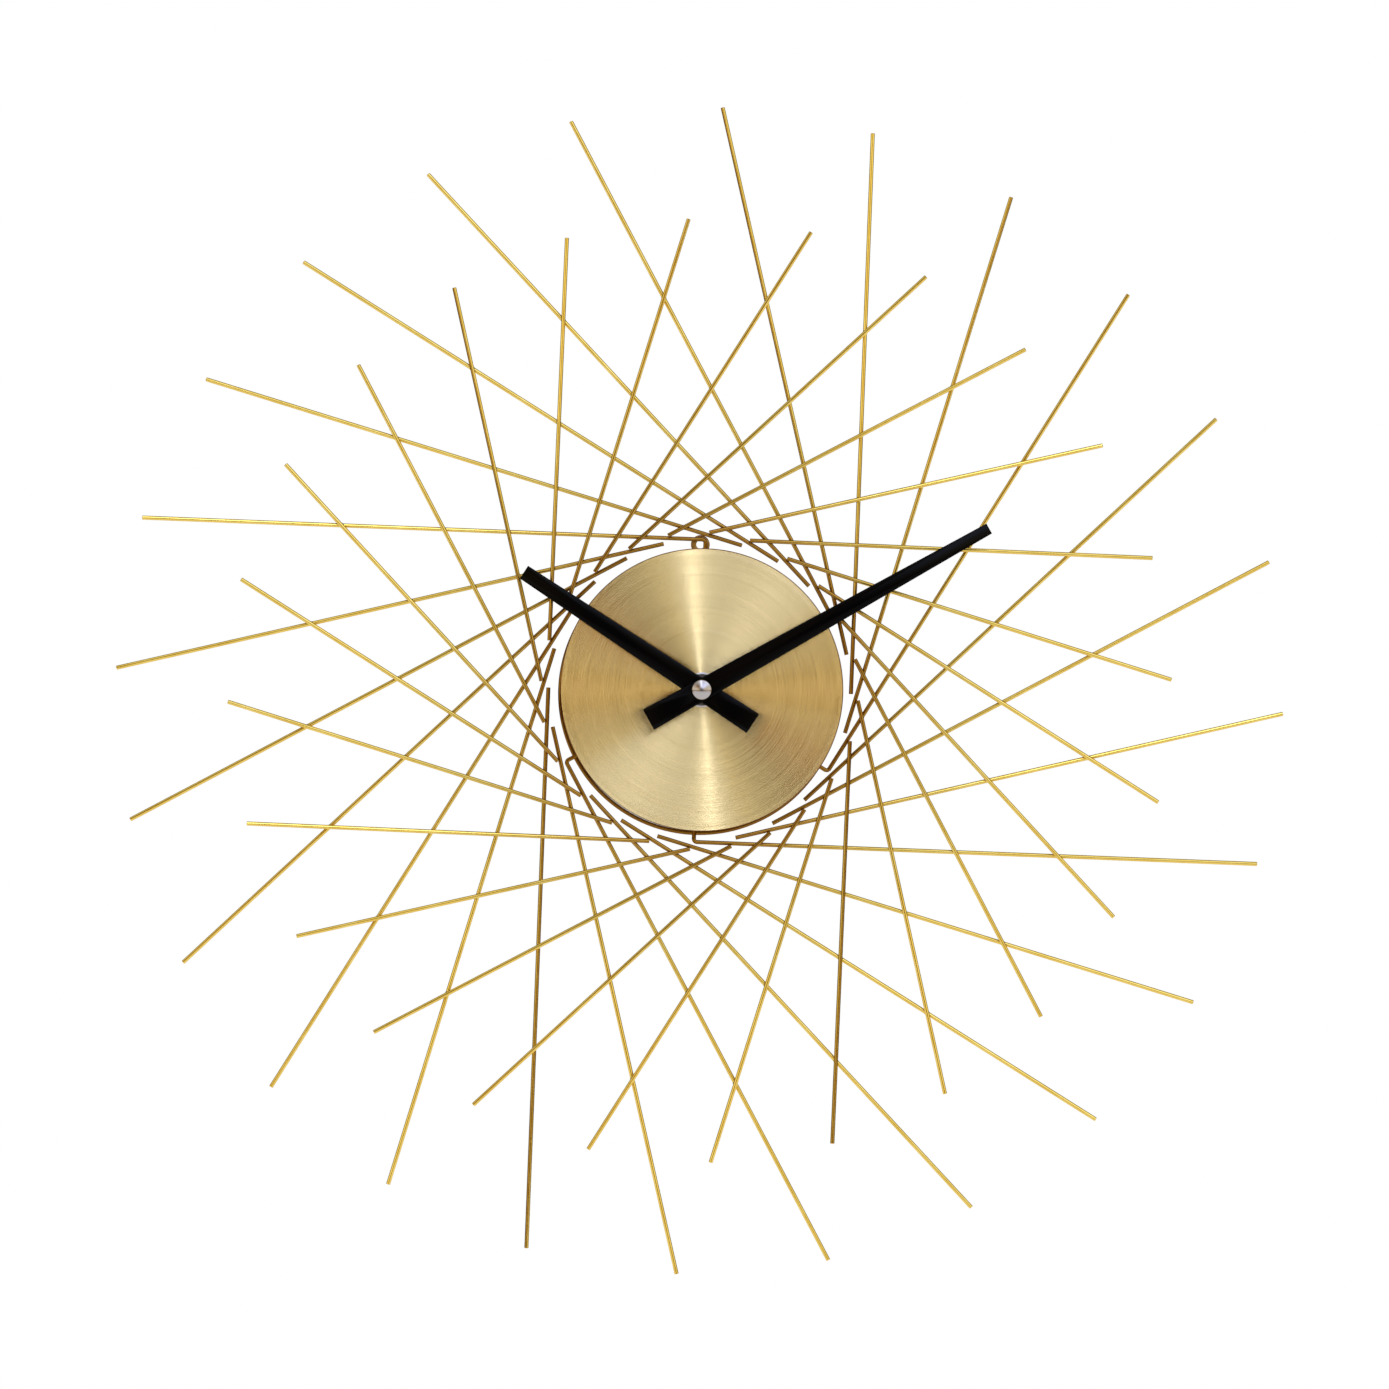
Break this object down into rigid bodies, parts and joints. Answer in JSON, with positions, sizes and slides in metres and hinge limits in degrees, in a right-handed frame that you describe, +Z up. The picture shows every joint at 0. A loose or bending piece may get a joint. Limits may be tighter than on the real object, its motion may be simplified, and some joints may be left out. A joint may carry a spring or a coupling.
{
  "type": "sunburst wall clock",
  "caption": "Wall clock with a round spun metal dial, plain tapered hands and two crossing layers of thin wire rods around it, driven by a battery quartz movement.",
  "frame": {"origin": "on the axis of the hands, in the plane of the movement's flat back, which rests on the wall", "axes": "+Z up to twelve o'clock, +X to three o'clock, -Y out of the wall towards the viewer"},
  "size_m": [0.5, 0.0303, 0.5],
  "materials": {
    "gold_wire": "bright plated",
    "gold_plate": "plated, darker behind the ring",
    "spun_dial": "champagne anodised, radially brushed",
    "rubber_pad": "matt",
    "nickel": "polished nickel",
    "black_hands": "semi-matt black",
    "turned_brass": "turned",
    "black_case": "fine texture",
    "knob_plastic": "moulded",
    "clear_plate": "natural",
    "screw_steel": "zinc plated",
    "cell_sleeve": "printed sleeve, left plain",
    "cell_cap": "nickel plated",
    "contact_spring": "nickel plated",
    "board": "solder mask",
    "chip_resin": "resin",
    "crystal_can": "drawn can",
    "soft_iron": "stamped",
    "bobbin_plastic": "natural",
    "copper_wire": "enamelled copper",
    "wheel_plastic": "natural",
    "magnet": "sintered"
  },
  "bodies": {
    "clock_frame": {"rear_rods": "gold_wire", "anchor_rods": "gold_wire", "front_rods": "gold_wire", "support_ring": "gold_wire", "hanging_eye": "gold_plate", "cross_strap": "gold_plate", "dial": "spun_dial", "seal_pad": "rubber_pad", "stem_washer": "nickel", "stem_nut": "nickel", "movement_case": "black_case", "rear_cover": "black_case", "train_plate": "clear_plate", "plate_screws": "screw_steel", "battery_cell": "cell_sleeve", "battery_nub": "cell_cap", "plus_contact": "contact_spring", "minus_contact": "contact_spring", "circuit_board": "board", "timing_chip": "chip_resin", "quartz_can": "crystal_can", "stator": "soft_iron", "coil_core": "soft_iron", "coil_bobbin": "bobbin_plastic", "coil_winding": "copper_wire"},
    "minute_group": {"minute_hand": "black_hands", "minute_bush": "turned_brass", "cap_nut": "nickel", "minute_arbor": "turned_brass", "centre_wheel": "wheel_plastic"},
    "hour_group": {"hour_hand": "black_hands", "hour_bush": "turned_brass", "hour_wheel": "wheel_plastic"},
    "setting_group": {"minute_wheel": "wheel_plastic", "setting_knob": "knob_plastic"},
    "third_group": {"third_wheel": "wheel_plastic"},
    "seconds_group": {"seconds_wheel": "wheel_plastic"},
    "fifth_group": {"fifth_wheel": "wheel_plastic"},
    "rotor_group": {"rotor_pinion": "wheel_plastic", "rotor_magnet": "magnet"}
  },
  "joints": [
    {"name": "minute_hand_turn", "type": "hinge", "parent": "clock_frame", "child": "minute_group", "pos_m": [0, -0.01, 0], "axis": [0, 1, 0], "continuous": true},
    {"name": "hour_hand_turn", "type": "hinge", "parent": "clock_frame", "child": "hour_group", "pos_m": [0, -0.01, 0], "axis": [0, 1, 0], "continuous": true},
    {"name": "minute_wheel_turn", "type": "hinge", "parent": "clock_frame", "child": "setting_group", "pos_m": [0.012, -0.01, 0], "axis": [0, 1, 0], "continuous": true},
    {"name": "third_wheel_turn", "type": "hinge", "parent": "clock_frame", "child": "third_group", "pos_m": [-0.01015, -0.01, 0.00369], "axis": [0, 1, 0], "continuous": true},
    {"name": "seconds_wheel_turn", "type": "hinge", "parent": "clock_frame", "child": "seconds_group", "pos_m": [-0.00768, -0.01, 0.01289], "axis": [0, 1, 0], "continuous": true},
    {"name": "fifth_wheel_turn", "type": "hinge", "parent": "clock_frame", "child": "fifth_group", "pos_m": [0.00059, -0.01, 0.01435], "axis": [0, 1, 0], "continuous": true},
    {"name": "rotor_turn", "type": "hinge", "parent": "clock_frame", "child": "rotor_group", "pos_m": [0.00693, -0.01, 0.01731], "axis": [0, 1, 0], "continuous": true}
  ],
  "couplings": [
    {"joint": "hour_hand_turn", "follows": "minute_hand_turn", "ratio": 0.083333},
    {"joint": "minute_wheel_turn", "follows": "minute_hand_turn", "ratio": -0.33333},
    {"joint": "third_wheel_turn", "follows": "minute_hand_turn", "ratio": -8},
    {"joint": "seconds_wheel_turn", "follows": "minute_hand_turn", "ratio": 60},
    {"joint": "fifth_wheel_turn", "follows": "minute_hand_turn", "ratio": -300},
    {"joint": "rotor_turn", "follows": "minute_hand_turn", "ratio": 1800}
  ]
}
